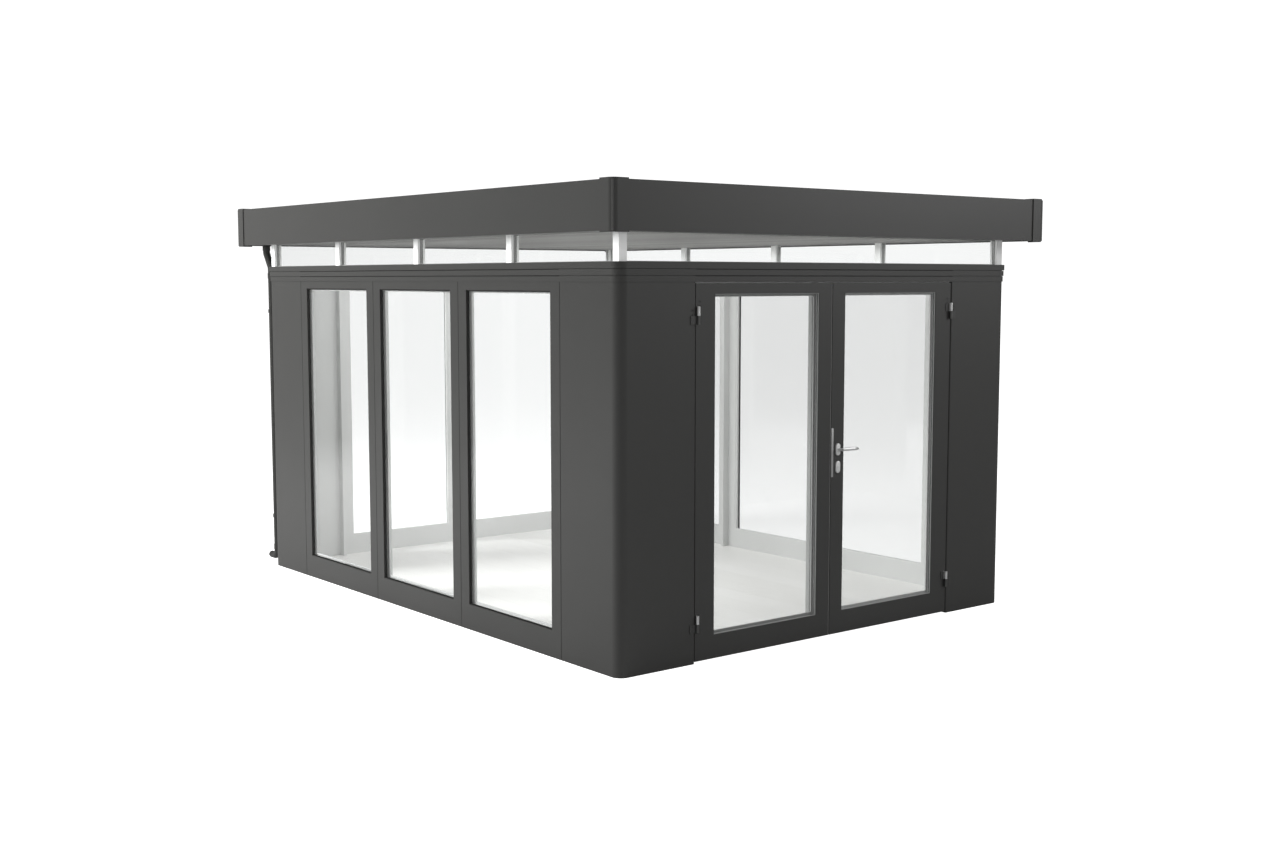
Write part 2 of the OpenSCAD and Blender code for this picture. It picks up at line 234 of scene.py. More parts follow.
softbox("key_light", (-7.5, 4.5, 4.1), ROOM_MIDDLE, width=4.5, height=3.5, power=1380)
fill_light = softbox(
    "fill_light", (6.0, -7.0, 4.4), ROOM_MIDDLE, width=4.0, height=3.0, power=190
)
softbox("low_light", (-8.0, -10.0, 2.2), POSTS_MIDDLE, width=4.0, height=1.0, power=280)
softbox("room_light", (0, 0, 2.23), ROOM_MIDDLE, width=2.6, height=3.6, power=66)
# The fill hangs so high that only the half-matt paint mirrors it.
fill_light.visible_glossy = True

# %% [markdown]
# ## Studio floor
#
# The floor only has to be pale and plain. It is so wide that its edge lies at the horizon. To
# the camera it glows a little, so that it runs into the white behind it without a visible edge.

# %% Studio floor
STUDIO_WIDTH = 1600
bpy.ops.object.select_all(action="DESELECT")
bpy.ops.mesh.primitive_plane_add(size=STUDIO_WIDTH, location=(0, 0, 0))
ground = bpy.context.object
ground.name = "studio_floor"
ground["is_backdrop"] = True
ground_paint, matt = new_material(
    "studio_floor_paint", Base_Color=(0.5, 0.5, 0.5, 1), Roughness=1.0,
    Specular_IOR_Level=0.0, Emission_Color=(1, 1, 1, 1),
)
for_camera(ground_paint, matt.inputs["Emission Strength"], 0.0, BACKGROUND)
ground.data.materials.append(ground_paint)
print("studio floor:", STUDIO_WIDTH, "m wide")

# %% [markdown]
# ## Powder-coated aluminium in two colours
#
# The wall elements are aluminium profiles in two halves: the outside is coated anthracite and
# the room side pale grey. The two halves meet behind the glass. One material does both: it
# looks at how deep a point lies in the wall. Powder coat is a plastic film that flows out in the
# oven, so it has a soft gloss and a fine orange peel.

# %% Powder coat
ANTHRACITE = colour("#383837")
ROOM_GREY = colour("#cfd0cf")
OUTER_HALF = 22 * MM


def outside_mask(material):
    """1 on the outer half of the walls, 0 on the room side."""
    place = add(material, "TexCoord").outputs["Object"]
    axes = add(material, "SeparateXYZ", {"Vector": place})
    tests = []
    for axis, reach in (("X", HALF_W), ("Y", HALF_D)):
        size = add(material, "Math", {0: axes.outputs[axis]}, operation="ABSOLUTE").outputs[0]
        outer = {0: size, 1: reach - OUTER_HALF}
        tests.append(add(material, "Math", outer, operation="GREATER_THAN").outputs[0])
    either = add(material, "Math", {0: tests[0], 1: tests[1]}, operation="MAXIMUM")
    return either.outputs[0]


def powder_coat(name, outside, inside=None):
    """Powder coat, flowed in the oven: half gloss, with an orange peel a few mm wide."""
    material, shader = new_material(name, Roughness=0.42, Specular_IOR_Level=0.4)
    # The film varies a little in tone over half a metre, as rolled sheet does.
    cloud = grain(material, 600 * MM)
    darker = tuple(c * 0.95 for c in outside[:3]) + (1,)
    lighter = tuple(min(1, c * 1.05) for c in outside[:3]) + (1,)
    vary(material, shader, cloud, tones=(darker, lighter))
    if inside:
        tone = shader.inputs["Base Color"].links[0].from_socket
        halves = {0: outside_mask(material), 6: inside, 7: tone}
        both = add(material, "Mix", halves, data_type="RGBA")
        link(material, both.outputs[2], shader.inputs["Base Color"])
    # Real orange peel is 1 to 2 mm wide; 4 mm is as fine as shows.
    peel = grain(material, 4 * MM)
    vary(material, shader, peel, gloss=(0.38, 0.5), depth=0.12 * MM, strength=0.5)
    return material


wall_coat = powder_coat("powder_coated_aluminium_two_tone", ANTHRACITE, ROOM_GREY)
roof_coat = powder_coat("powder_coated_aluminium_anthracite", ANTHRACITE)
lining_coat = powder_coat("powder_coated_aluminium_room_grey", ROOM_GREY)
bead_coat = powder_coat("powder_coated_aluminium_mid_grey", colour("#a6a7a6"))
post_coat = powder_coat("powder_coated_aluminium_post_white", colour("#f8f9f8"))
print("coats:", [m.name for m in (wall_coat, roof_coat, lining_coat, bead_coat, post_coat)])

# %% [markdown]
# ## Float glass
#
# A pane is flat and thin, so nothing seen through it bends. It lets light through straight and
# mirrors a few hundredths of it, more at a low angle. Glass of refractive index 1.5 mirrors
# 4 % head on. A full glass shader would bend light twice for nothing and keep lamps out, so
# this one mixes a clear shader with a mirror.

# %% Glass
HEAD_ON_SHARE = 0.04
# How much red, green and blue light passes a pane.
WINDOW_PASSES = (0.96, 0.963, 0.962, 1)
CLERESTORY_PASSES = (0.985, 0.988, 0.987, 1)
DOOR_PASSES = (0.855, 0.857, 0.856, 1)


def float_glass(name, passes):
    """Clear float glass: see-through, with a mirror that grows at low angles."""
    material = bpy.data.materials.new(name)
    material.use_nodes = True
    material.node_tree.nodes.clear()
    clear = add(material, "BsdfTransparent", {"Color": passes}).outputs[0]
    # Float glass is so even that only a slight waviness of the mirror image gives it away.
    wave = add(material, "Bump", {"Height": grain(material, 300 * MM), "Distance": 0.05 * MM})
    surface = {"Roughness": 0.02, "Normal": wave.outputs["Normal"]}
    mirror = add(material, "BsdfGlossy", surface).outputs[0]
    facing = add(material, "LayerWeight", {"Blend": 0.5}).outputs["Facing"]
    steep = add(material, "Math", {0: facing, 1: 5.0}, operation="POWER").outputs[0]
    share = add(material, "MapRange", {"Value": steep, "To Min": HEAD_ON_SHARE, "To Max": 1.0})
    both = add(material, "MixShader", {0: share.outputs["Result"], 1: clear, 2: mirror})
    add(material, "OutputMaterial", {"Surface": both.outputs[0]})
    return material


window_pane_glass = float_glass("float_glass_clear", WINDOW_PASSES)
clerestory_pane_glass = float_glass("float_glass_faint_tone", CLERESTORY_PASSES)
door_pane_glass = float_glass("float_glass_toned", DOOR_PASSES)
print("glass:", [m.name for m in (window_pane_glass, clerestory_pane_glass, door_pane_glass)])

# %% [markdown]
# ## Steel and rubber
#
# The hardware is stainless steel brushed with 240 grit, which leaves fine streaks and a broad
# satin gloss, almost white under softboxes. The strip at the meeting edge is duller anodised
# aluminium, brushed the same way. Seals are extruded rubber, black or grey, and matt with a fine
# bloom.

# %% Steel and rubber
STEEL_TONES = colour("#dadbdb"), colour("#f6f6f5")


def brushed_metal(name, tones):
    """Metal brushed with 240 grit: fine streaks and a broad satin gloss."""
    material, shader = new_material(name, Metallic=0.8, Roughness=0.45)
    # Brush lines are 0.1 mm wide; 0.6 mm is as fine as shows.
    streaks = grain(material, 0.6 * MM, stretch=(1, 1, 0.04))
    vary(material, shader, streaks, tones, (0.38, 0.52), 0.02 * MM)
    return material


def rubber(name, tone):
    """Extruded rubber: matt, with a very fine bloom."""
    material, shader = new_material(name, Roughness=0.7)
    bloom = grain(material, 2 * MM)
    dull = tuple(min(1, c * 1.25 + 0.002) for c in tone[:3]) + (1,)
    vary(material, shader, bloom, (tone, dull), (0.6, 0.8))
    return material


steel = brushed_metal("brushed_stainless_steel", STEEL_TONES)
dull_aluminium = brushed_metal(
    "brushed_aluminium_anodised", (colour("#a3a4a4"), colour("#bcbcbb"))
)
seal_rubber = rubber("epdm_rubber_black", colour("#191918"))
lip_rubber = rubber("silicone_rubber_grey", colour("#8c8d8c"))
print("hardware:", [m.name for m in (steel, dull_aluminium, seal_rubber, lip_rubber)])

# %% [markdown]
# ## Boards and planks
#
# Grey laminated boards line the ceiling and pale vinyl planks cover the floor. Each strip of a
# row has a tone of its own: its number in the row feeds a white noise. The grain is a noise
# stretched along the strip.

# %% Boards and planks
BOARDS = 26
PLANK_W = 190 * MM
HAIRLINE = 3 * MM


def strips(material, axis, pitch):
    """A value from 0 to 1 for each strip of a row, and how far across its strip a point lies."""
    place = add(material, "TexCoord").outputs["Object"]
    line = add(material, "SeparateXYZ", {"Vector": place}).outputs[axis]
    count = add(material, "Math", {0: line, 1: pitch}, operation="DIVIDE").outputs[0]
    whole = add(material, "Math", {0: count}, operation="FLOOR").outputs[0]
    part = add(material, "Math", {0: count}, operation="FRACT").outputs[0]
    tone = add(material, "TexWhiteNoise", {"W": whole}, noise_dimensions="1D")
    return tone.outputs["Value"], part


def laminated_board(name, pitch):
    """Laminated boards: grey foil with a faint long grain, each board a little different."""
    material, shader = new_material(name, Roughness=0.5)
    tone, _ = strips(material, "X", pitch)
    streak = grain(material, 12 * MM, stretch=(1, 0.02, 1), detail=4.0)
    mixed = add(material, "Math", {0: tone, 1: streak}, operation="MULTIPLY").outputs[0]
    vary(material, shader, mixed, tones=(colour("#7b7a79"), colour("#a3a2a0")))
    vary(material, shader, streak, gloss=(0.42, 0.58), depth=0.2 * MM)
    return material


def vinyl_plank(name, pitch):
    """Vinyl planks: pale, with a faint grain and a hairline at each joint."""
    material, shader = new_material(name, Roughness=0.35)
    tone, part = strips(material, "X", pitch)
    streak = grain(material, 20 * MM, stretch=(1, 0.05, 1), detail=4.0)
    mixed = add(material, "Math", {0: tone, 1: streak}, operation="MULTIPLY").outputs[0]
    vary(material, shader, mixed, tones=(colour("#f1f1ef"), colour("#e6e6e3")))
    # A joint is 0.5 mm wide; 3 mm is as fine as shows.
    joint = {0: part, 1: HAIRLINE / pitch}
    line = add(material, "Math", joint, operation="LESS_THAN").outputs[0]
    wood = shader.inputs["Base Color"].links[0].from_socket
    lined = add(material, "Mix", {0: line, 6: wood, 7: colour("#d5d5d2")}, data_type="RGBA")
    link(material, lined.outputs[2], shader.inputs["Base Color"])
    vary(material, shader, streak, depth=0.1 * MM, strength=0.3)
    return material


ceiling_low, ceiling_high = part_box("ceiling")
BOARD_W = (ceiling_high.x - ceiling_low.x) / BOARDS
board = laminated_board("laminated_board_grey", BOARD_W)
plank = vinyl_plank("vinyl_plank_pale", PLANK_W)
print("board and plank width:", round(BOARD_W / MM), round(PLANK_W / MM), "mm")

# %% [markdown]
# ## Roof sheet, downpipe and hinges
#
# The roof is coated steel sheet and the downpipe near-black coated aluminium, both slightly
# mottled. A hinge is coated with the wall, but its knuckle is rubbed bare by the pin and shows
# its metal. One material does both, by the distance from the hinge's axis.

# %% Roof sheet, downpipe and hinges
KNUCKLE_R = 9 * MM
WALL_PLATE_END = 48 * MM
wall_part_low, wall_part_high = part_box("hinge_frame_parts")
axis_x = wall_part_high.x - WALL_PLATE_END


def coated_sheet(name, low, high, size, depth):
    """Coated sheet metal: a mottled tone and a slight unevenness."""
    material, shader = new_material(name, Roughness=0.5)
    mottle = grain(material, size, detail=3.0)
    vary(material, shader, mottle, (colour(low), colour(high)), (0.42, 0.6), depth)
    return material


def coated_hinge(name, tones):
    """A hinge coated with the wall, with bare brushed metal within its knuckle's radius."""
    material = brushed_metal(name, tones)
    bare = material.node_tree.nodes["Principled BSDF"]
    place = add(material, "TexCoord").outputs["Object"]
    across = add(material, "SeparateXYZ", {"Vector": place}).outputs["X"]
    size = add(material, "Math", {0: across}, operation="ABSOLUTE").outputs[0]
    away = add(material, "Math", {0: size, 1: axis_x}, operation="SUBTRACT").outputs[0]
    away = add(material, "Math", {0: away}, operation="ABSOLUTE").outputs[0]
    beyond = {0: away, 1: KNUCKLE_R * 1.05}
    coated = add(material, "Math", beyond, operation="GREATER_THAN").outputs[0]
    metal = bare.inputs["Base Color"].links[0].from_socket
    tone = add(material, "Mix", {0: coated, 6: metal, 7: ANTHRACITE}, data_type="RGBA")
    link(material, tone.outputs[2], bare.inputs["Base Color"])
    shine = add(material, "MapRange", {"Value": coated, "To Min": 1.0, "To Max": 0.0})
    link(material, shine.outputs["Result"], bare.inputs["Metallic"])
    return material


roof_sheet_coat = coated_sheet(
    "coated_steel_sheet_grey", "#5f605f", "#6e6f6e", 40 * MM, 0.3 * MM
)
pipe_coat = coated_sheet(
    "powder_coated_aluminium_black", "#262625", "#30302f", 5 * MM, 0.1 * MM
)
leaf_hinge_finish = coated_hinge("coated_hinge_with_steel_knuckle", STEEL_TONES)
wall_hinge_finish = coated_hinge(
    "coated_hinge_with_dark_knuckle", (colour("#60605f"), colour("#70706f"))
)
print("hinge axis", round(axis_x / MM), "mm from the middle")

# %% [markdown]
# ## Finishes on the frame's nodes
#
# The nodes keep their shapes. Each gets its real finish in its material slots, chosen by
# its name.

# %% Finishes on the frame's nodes
FINISHES = [
    ("window_glass", window_pane_glass),
    ("clerestory_glass", clerestory_pane_glass),
    ("door_glass", door_pane_glass),
    ("corner_panel", wall_coat),
    ("window_frame", wall_coat),
    ("door_leaf", wall_coat),
    ("header", wall_coat),
    ("wall_fins", lining_coat),
    ("door_frame", lining_coat),
    ("clerestory_posts", post_coat),
    ("fascia", roof_coat),
    ("roof_deck", roof_sheet_coat),
    ("ceiling", board),
    ("floor", plank),
    ("downpipe", pipe_coat),
    ("hinge_frame", wall_hinge_finish),
    ("hinge", leaf_hinge_finish),
    ("handle_plates", steel),
    ("door_lever", steel),
]
for name, node in nodes.items():
    chosen = next(material for start, material in FINISHES if name.startswith(start))
    node.data.materials.clear()
    node.data.materials.append(chosen)
print("finished nodes:", len(nodes))

# %% [markdown]
# ## Helpers for modelling
#
# Each piece is made as by hand: a primitive at its size and place, edit mode, operators. An
# operator acts on all that is selected, so everything is deselected first, and faces and edges
# are picked by where they are or which way they face.

# %% Helpers for modelling


def select_only(*pieces):
    bpy.ops.object.select_all(action="DESELECT")
    for piece in pieces:
        piece.select_set(True)
    bpy.context.view_layer.objects.active = pieces[0]


def settle(name):
    """Names the new primitive and puts its place, turn and size into its mesh."""
    piece = bpy.context.object
    piece.name = piece.data.name = name
    bpy.ops.object.transform_apply(location=True, rotation=True, scale=True)
    return piece


def cube(name, low, high):
    """A block between two corners, to be shaped further."""
    low, high = Vector(low), Vector(high)
    bpy.ops.object.select_all(action="DESELECT")
    bpy.ops.mesh.primitive_cube_add(size=1, location=(low + high) / 2)
    bpy.context.object.scale = high - low
    return settle(name)


def rod(name, centre, axis, radius, length, sides=32):
    """A round bar along X, Y or Z, to be shaped further."""
    turn = {"X": (0, math.pi / 2, 0), "Y": (math.pi / 2, 0, 0), "Z": (0, 0, 0)}[axis]
    bpy.ops.object.select_all(action="DESELECT")
    bpy.ops.mesh.primitive_cylinder_add(
        vertices=sides, radius=radius, depth=length, location=centre, rotation=turn
    )
    return settle(name)


def edit(piece):
    select_only(piece)
    bpy.ops.object.mode_set(mode="EDIT")


def done():
    bpy.ops.object.mode_set(mode="OBJECT")


def pick(piece, kind, test):
    """In edit mode, selects only the faces, edges or vertices that pass a test."""
    bpy.ops.mesh.select_mode(type=kind)
    bpy.ops.mesh.select_all(action="DESELECT")
    mesh = bmesh.from_edit_mesh(piece.data)
    mesh.normal_update()
    for item in {"FACE": mesh.faces, "EDGE": mesh.edges, "VERT": mesh.verts}[kind]:
        if test(item):
            item.select_set(True)
    mesh.select_flush_mode()
    bmesh.update_edit_mesh(piece.data)


def along(edge, axis):
    """True for an edge that runs along X, Y or Z."""
    line = edge.verts[1].co - edge.verts[0].co
    return abs(line["XYZ".index(axis)]) > 0.999 * line.length


def flat_at(item, axis, value):
    """True for an edge or face that lies at a value of X, Y or Z."""
    return all(abs(v.co["XYZ".index(axis)] - value) < 1e-5 for v in item.verts)


def round_over(piece, test, width, segments=3):
    """Bevels the edges that pass a test."""
    edit(piece)
    pick(piece, "EDGE", test)
    bpy.ops.mesh.bevel(offset=width, segments=segments, profile=0.5, affect="EDGES")
    done()


def extrude(*move):
    bpy.ops.mesh.extrude_region_move(TRANSFORM_OT_translate={"value": move})


def join(*pieces):
    """Makes one piece of several."""
    select_only(*pieces)
    bpy.ops.object.join()
    return bpy.context.object


def copy(piece, name, matrix):
    """A copy with its own mesh, put in its place."""
    select_only(piece)
    bpy.ops.object.duplicate()
    twin = bpy.context.object
    twin.name = twin.data.name = name
    twin.matrix_world = matrix
    bpy.ops.object.transform_apply(location=True, rotation=True, scale=True)
    return twin


def drop(piece):
    select_only(piece)
    bpy.ops.object.delete()


def finish(piece, body, material, angle=35):
    """Smooths a piece, gives it its finish, and says what it rides on."""
    select_only(piece)
    bpy.ops.object.shade_smooth_by_angle(angle=math.radians(angle))
    piece.data.materials.clear()
    piece.data.materials.append(material)
    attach(piece, body)
    size = [round(v / MM) for v in piece.dimensions]
    print(f"{piece.name}: {size} mm, {len(piece.data.polygons)} faces, on {body}")
    return piece


test_block = cube("test", (0, 0, 0), (1, 1, 1))
round_over(test_block, lambda e: along(e, "Z"), 0.1)
print("a block with four rounded edges has", len(test_block.data.polygons), "faces")
drop(test_block)

# %% [markdown]
# ## A ring round a pane
#
# Gaskets, glazing beads and door seals are all the same thing: a mitred frame of one section
# that runs round an opening. It starts as a flat plate, an inset leaves a border, the middle
# goes, and the border is pushed to its depth. A bevel rounds the edge that shows.

# %% A ring


def ring(name, low, high, width, shown, soft):
    """A frame in XZ between two corners, width wide, its inner edge at y = shown rounded."""
    low, high = Vector(low), Vector(high)
    centre = ((low.x + high.x) / 2, low.y, (low.z + high.z) / 2)
    bpy.ops.object.select_all(action="DESELECT")
    bpy.ops.mesh.primitive_plane_add(size=1, location=centre, rotation=(math.pi / 2, 0, 0))
    bpy.context.object.scale = (high.x - low.x, high.z - low.z, 1)
    piece = settle(name)
    edit(piece)
    bpy.ops.mesh.select_all(action="SELECT")
    bpy.ops.mesh.inset(thickness=width, depth=0)
    bpy.ops.mesh.delete(type="FACE")
    bpy.ops.mesh.select_all(action="SELECT")
    extrude(0, high.y - low.y, 0)
    bpy.ops.mesh.select_all(action="SELECT")
    bpy.ops.mesh.normals_make_consistent(inside=False)

    def inner(edge):
        middle = (edge.verts[0].co + edge.verts[1].co) / 2
        in_x = low.x + width / 2 < middle.x < high.x - width / 2
        in_z = low.z + width / 2 < middle.z < high.z - width / 2
        return flat_at(edge, "Y", shown) and in_x and in_z

    pick(piece, "EDGE", inner)
    bpy.ops.mesh.bevel(offset=soft, segments=3, profile=0.5, affect="EDGES")
    done()
    return piece


test_ring = ring("test", (0, 0, 0), (1, 0.01, 1), 0.02, 0, 0.004)
print("a ring has", len(test_ring.data.polygons), "faces")
drop(test_ring)

# %% [markdown]
# ## Window gaskets and glazing beads
#
# Each pane sits between a black rubber gasket outside and a pale clipped bead on the room side.
# All eight windows are the same size, so both rings are modelled once, in a wall's own
# directions, and copied to the windows with one matrix each.

# %% Window gaskets and beads
frame_low, frame_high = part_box("window_frame_rear_1")
glass_low, glass_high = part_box("window_glass_rear")
pane_half = (frame_high.x - frame_low.x) / 2 - (max(frame_high.x, JOINT_X) - glass_high.x)
pane_out = HALF_D - glass_high.y
pane_in = HALF_D - glass_low.y
GASKET_W, GASKET_T, GASKET_SOFT = 7 * MM, 7 * MM, 4 * MM
BEAD_W, BEAD_STOP, BEAD_SOFT = 15 * MM, 2 * MM, 8 * MM
wall_t = frame_high.y - frame_low.y

gasket = ring(
    "gasket", (-pane_half, pane_out - GASKET_T, glass_low.z), (pane_half, pane_out, glass_high.z),
    GASKET_W, pane_out - GASKET_T, GASKET_SOFT,
)
bead = ring(
    "bead", (-pane_half, pane_in, glass_low.z), (pane_half, wall_t - BEAD_STOP, glass_high.z),
    BEAD_W, wall_t - BEAD_STOP, BEAD_SOFT,
)
for name in [n for n in nodes if n.startswith("window_frame_")]:
    side, number = name.split("_")[2:]
    low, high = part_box(name)
    middle = on_wall(side).inverted() @ ((low + high) / 2)
    place = on_wall(side) @ Matrix.Translation((middle.x, 0, 0))
    seal = copy(gasket, f"gasket_{side}_{number}", place)
    finish(seal, "building", seal_rubber)
    clip = copy(bead, f"glazing_bead_{side}_{number}", place)
    finish(clip, "building", lining_coat)
drop(gasket)
drop(bead)

# %% [markdown]
# ## Door gaskets, beads and seal
#
# The door panes are held the same way, in slimmer gaskets of grey silicone, and their rings ride
# on the leaves. The closed leaves shut against a soft black seal on the frame behind them.

# %% Door gaskets, beads and seal
DOOR_GASKET_W, DOOR_GASKET_T, DOOR_GASKET_SOFT = 3.5 * MM, 6 * MM, 2 * MM
DOOR_BEAD_SOFT = 5 * MM
for hand in ("left", "right"):
    low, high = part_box(f"door_glass_{hand}")
    leaf_low, leaf_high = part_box(f"door_leaf_{hand}")
    outer = ring(
        f"door_gasket_{hand}", (low.x, low.y - DOOR_GASKET_T, low.z), (high.x, low.y, high.z),
        DOOR_GASKET_W, low.y - DOOR_GASKET_T, DOOR_GASKET_SOFT,
    )
    finish(outer, f"{hand}_door", lip_rubber)
    inner = ring(
        f"door_bead_{hand}", (low.x, high.y, low.z), (high.x, leaf_high.y - BEAD_STOP, high.z),
        BEAD_W, leaf_high.y - BEAD_STOP, DOOR_BEAD_SOFT,
    )
    coat = bead_coat if hand == "left" else lining_coat
    finish(inner, f"{hand}_door", coat)

FRAME_LAP = 30 * MM
SEAL_W, SEAL_T, SEAL_SOFT = 8 * MM, 4 * MM, 2 * MM
door_frame_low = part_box("door_frame")[0]
opening = JOINT_X - FRAME_LAP + SEAL_W
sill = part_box("floor")[1].z
frame_seal = ring(
    "door_frame_seal",
    (-opening, door_frame_low.y - SEAL_T, sill - SEAL_W),
    (opening, door_frame_low.y, WALL_H - FRAME_LAP + SEAL_W),
    SEAL_W, door_frame_low.y - SEAL_T, SEAL_SOFT,
)
finish(frame_seal, "building", seal_rubber)

# %% [markdown]
# ## Bolt cover
#
# Bolts at its top and foot hold the left leaf. The rod that draws them runs in a coated cover
# up the room side of the leaf: a block with its room-side edges rounded.

# %% Bolt cover
COVER_W, COVER_T, COVER_SHORT, COVER_SOFT = 45 * MM, 32 * MM, 60 * MM, 5 * MM
pane_low, pane_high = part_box("door_glass_left")
leaf_low, leaf_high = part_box("door_leaf_left")
cover_x = pane_high.x - BEAD_W
cover = cube(
    "bolt_cover",
    (cover_x, leaf_high.y, pane_low.z - COVER_SHORT),
    (cover_x + COVER_W, leaf_high.y + COVER_T, pane_high.z + COVER_SHORT),
)
round_over(cover, lambda e: flat_at(e, "Y", leaf_high.y + COVER_T), COVER_SOFT)
finish(cover, "left_door", bead_coat)

# %% [markdown]
# ## Meeting lip
#
# A soft lip on the left leaf's edge closes the gap to the right leaf. It is an extruded strip
# with a rounded edge, a little shorter than the leaf.

# %% Meeting lip
LIP_BACK, LIP_DEPTH, LIP_W, LIP_SOFT = 0.5 * MM, 10 * MM, 3 * MM, 1.2 * MM
lip = cube(
    "meeting_lip",
    (leaf_high.x, leaf_low.y + LIP_BACK, leaf_low.z + LIP_W),
    (leaf_high.x + LIP_W, leaf_low.y + LIP_BACK + LIP_DEPTH, leaf_high.z - LIP_W),
)
round_over(lip, lambda e: flat_at(e, "X", leaf_high.x + LIP_W), LIP_SOFT)
finish(lip, "left_door", lip_rubber)

# %% [markdown]
# ## Joint seals and painted groove shade
#
# Black rubber strips sit in the grooves of the header and in the V joints between the side
# elements. Their fine dark line is real rubber and also painted shade: it stands in for the shade
# inside the grooves. Each strip is a slim bar with its two outer edges rounded, modelled in a
# wall's own directions, and the strips of one wall are joined.

# %% Joint seals and painted groove shade
BANDS, GROOVE_H, BAND_STEP, GROOVE_BACK = 3, 5 * MM, 3 * MM, 1 * MM
header_low, header_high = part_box("header_front")
BAND_H = (header_high.z - header_low.z) / BANDS
band_out = -HALF_D - header_low.y
JOINT_SHADE_SEAL_W, JOINT_SHADE_SEAL_FRONT, JOINT_SHADE_SEAL_BACK = 3.2 * MM, 1.4 * MM, 3 * MM
JOINT_SHADE_SEAL_SOFT = 0.4 * MM


def shade_seal_bar(name, low, high, run):
    """A bar along X or Z whose edges at the outside, low.y, are rounded."""
    piece = cube(name, low, high)
    round_over(
        piece, lambda e: along(e, run) and flat_at(e, "Y", low[1]), JOINT_SHADE_SEAL_SOFT, segments=2
    )
    return piece


def header_shade_seals(side):
    """The black strips in the header's grooves, each a little behind the band over it; their dark
    line is painted shade of the grooves.
    """
    half = (HALF_D if side in ("left", "right") else HALF_W) - (HALF_W - JOINT_X)
    bars = []
    for k in range(1, BANDS):
        z = header_low.z + k * BAND_H
        out = band_out - BAND_STEP * (BANDS - k) - GROOVE_BACK
        bars.append(shade_seal_bar("bar", (-half, -out, z - GROOVE_H), (half, 0, z), "X"))
    return bars


def upright_shade_seals(side):
    """The black strips in the V joints between the corner panels and the windows; their dark line
    is painted shade of the joints.
    """
    half = REACH["left" if side == "rear" else "front"] - (HALF_W - JOINT_X)
    count = 2 if side == "rear" else 3
    bars = []
    for i in range(count + 1):
        x = -half + i * 2 * half / count
        low = (x - JOINT_SHADE_SEAL_W / 2, JOINT_SHADE_SEAL_FRONT, 0)
        high = (x + JOINT_SHADE_SEAL_W / 2, JOINT_SHADE_SEAL_BACK, WALL_H)
        bars.append(shade_seal_bar("bar", low, high, "Z"))
    return bars


for side in SIDES:
    bars = header_shade_seals(side) + ([] if side == "front" else upright_shade_seals(side))
    whole = join(*bars)
    shade_seals = copy(whole, f"joint_shade_seals_{side}", on_wall(side))
    # The black rubber here is a real seal and also painted shade in the grooves and joints.
    finish(shade_seals, "building", seal_rubber)
    drop(whole)

# %% [markdown]
# ## Ceiling boards
#
# The ceiling and the soffit are one run of narrow boards along the room, with a small V where two
# boards meet. One board is a block whose lower long edges are bevelled, and an Array modifier
# lays the rest beside it. It stands for the plain plate of the frame.

# %% Ceiling boards
V_EDGE = 4 * MM
boards = cube(
    "ceiling_boards", ceiling_low, (ceiling_low.x + BOARD_W, ceiling_high.y, ceiling_high.z)
)
round_over(boards, lambda e: along(e, "Y") and flat_at(e, "Z", ceiling_low.z), V_EDGE, segments=1)
select_only(boards)
row = boards.modifiers.new("row", "ARRAY")
row.count = BOARDS
row.use_relative_offset = False
row.use_constant_offset = True
row.constant_offset_displace = (BOARD_W, 0, 0)
bpy.ops.object.modifier_apply(modifier="row")
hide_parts("ceiling")
finish(boards, "building", board, angle=20)

# %% [markdown]
# ## Roof sheet
#
# A flat roof like this is closed with metal trays that meet in standing seams. A tray is a thin
# block, a bisect marks off a narrow strip at its side, and that strip is extruded up as the seam.
# Seven trays cover the deck.

# %% Roof sheet
TRAYS, TRAY_T, SEAM_W, SEAM_H, SEAM_SOFT = 7, 2 * MM, 9 * MM, 24 * MM, 2 * MM
deck_low, deck_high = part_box("roof_deck")
TRAY_W = (deck_high.x - deck_low.x) / TRAYS
tray_top = deck_high.z + TRAY_T
seam_end = deck_low.x + SEAM_W
sheet = cube(
    "roof_sheet",
    (deck_low.x, deck_low.y, deck_high.z),
    (deck_low.x + TRAY_W, deck_high.y, tray_top),
)


def on_seam(face):
    return flat_at(face, "Z", tray_top) and face.calc_center_median().x < seam_end


edit(sheet)
bpy.ops.mesh.select_all(action="SELECT")
bpy.ops.mesh.bisect(plane_co=(seam_end, 0, 0), plane_no=(1, 0, 0))
pick(sheet, "FACE", on_seam)
extrude(0, 0, SEAM_H)
done()
seam_top = tray_top + SEAM_H
round_over(sheet, lambda e: along(e, "Y") and flat_at(e, "Z", seam_top), SEAM_SOFT, segments=2)
select_only(sheet)
row = sheet.modifiers.new("row", "ARRAY")
row.count = TRAYS
row.use_relative_offset = False
row.use_constant_offset = True
row.constant_offset_displace = (TRAY_W, 0, 0)
bpy.ops.object.modifier_apply(modifier="row")
finish(sheet, "building", roof_sheet_coat)

# %% [markdown]
# ## Coping
#
# A folded strip covers the top of each fascia between the corner caps and turns down behind it,
# so that rain can't get in. It is a thin plate with its back edge bisected off and extruded
# down. The four strips are two lengths, each copied to the opposite wall.

# %% Coping
COPING_T, COPING_W, COPING_LEG, COPING_SOFT = 2 * MM, 42 * MM, 24 * MM, 0.8 * MM
CAP_LEG = 96 * MM
fascia_low, fascia_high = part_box("fascia_front")
overhang = -HALF_D - fascia_low.y


